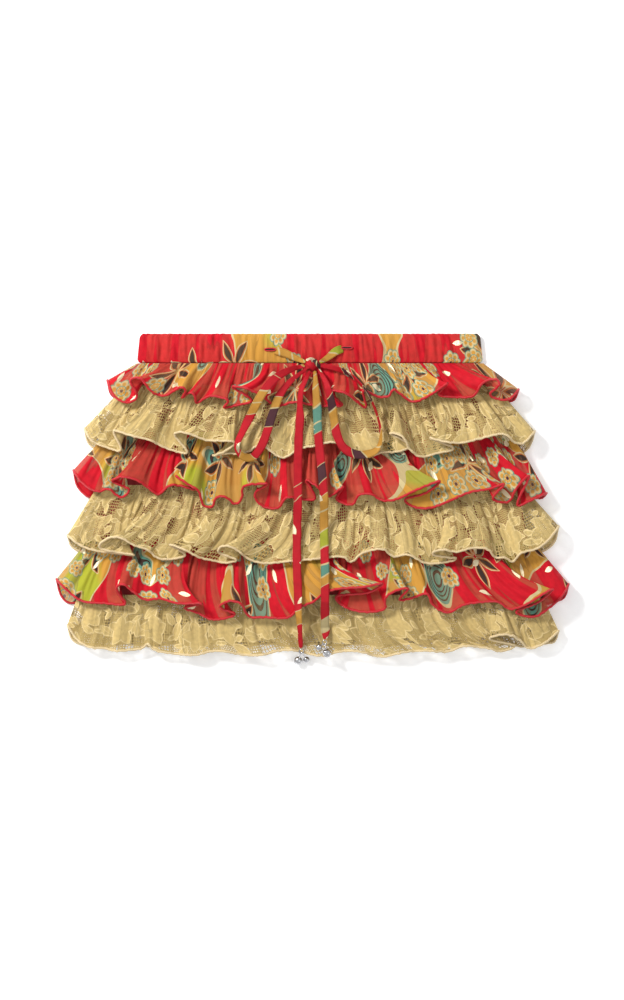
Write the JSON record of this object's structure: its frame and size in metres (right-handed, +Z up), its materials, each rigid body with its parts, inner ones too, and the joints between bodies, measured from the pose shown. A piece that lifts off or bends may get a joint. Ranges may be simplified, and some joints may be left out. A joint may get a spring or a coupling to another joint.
{
  "type": "tiered ruffle mini skirt, laid flat",
  "caption": "Elastic-waist mini skirt laid flat, with six ruffle tiers of printed chiffon and lace in turn, and a flat tie in a bow with bell charms on its ends.",
  "frame": {"origin": "on the surface it lies on, at the middle of the skirt's outline without the tie and charms", "axes": "+X to the right of the front, +Y towards the waistband, +Z up from the surface, out of the front"},
  "size_m": [0.514, 0.3326, 0.0401],
  "materials": {
    "waistband_cloth": "gathered printed chiffon over elastic",
    "base_cloth": "plain matt lining cloth",
    "chiffon": "sheer printed chiffon with rolled hem",
    "lace": "net lace with woven motifs",
    "tie_cloth": "folded printed strip",
    "charm_metal": "bright silvery metal"
  },
  "bodies": {
    "root": {"waistband_front": "waistband_cloth", "waistband_back": "waistband_cloth", "skirt_base_front": "base_cloth", "skirt_base_back": "base_cloth", "tier_1_front": "chiffon", "tier_2_front": "lace", "tier_3_front": "chiffon", "tier_4_front": "lace", "tier_5_front": "chiffon", "tier_6_front": "lace", "tier_1_back": "chiffon", "tier_2_back": "lace", "tier_3_back": "chiffon", "tier_4_back": "lace", "tier_5_back": "chiffon", "tier_6_back": "lace", "tie_exit_left": "tie_cloth", "tie_exit_right": "tie_cloth", "tie_loop_left": "tie_cloth", "tie_loop_right": "tie_cloth", "tie_end_left": "tie_cloth", "tie_end_right": "tie_cloth", "tie_knot": "tie_cloth", "charm_left": "charm_metal", "charm_right": "charm_metal"}
  },
  "joints": []
}
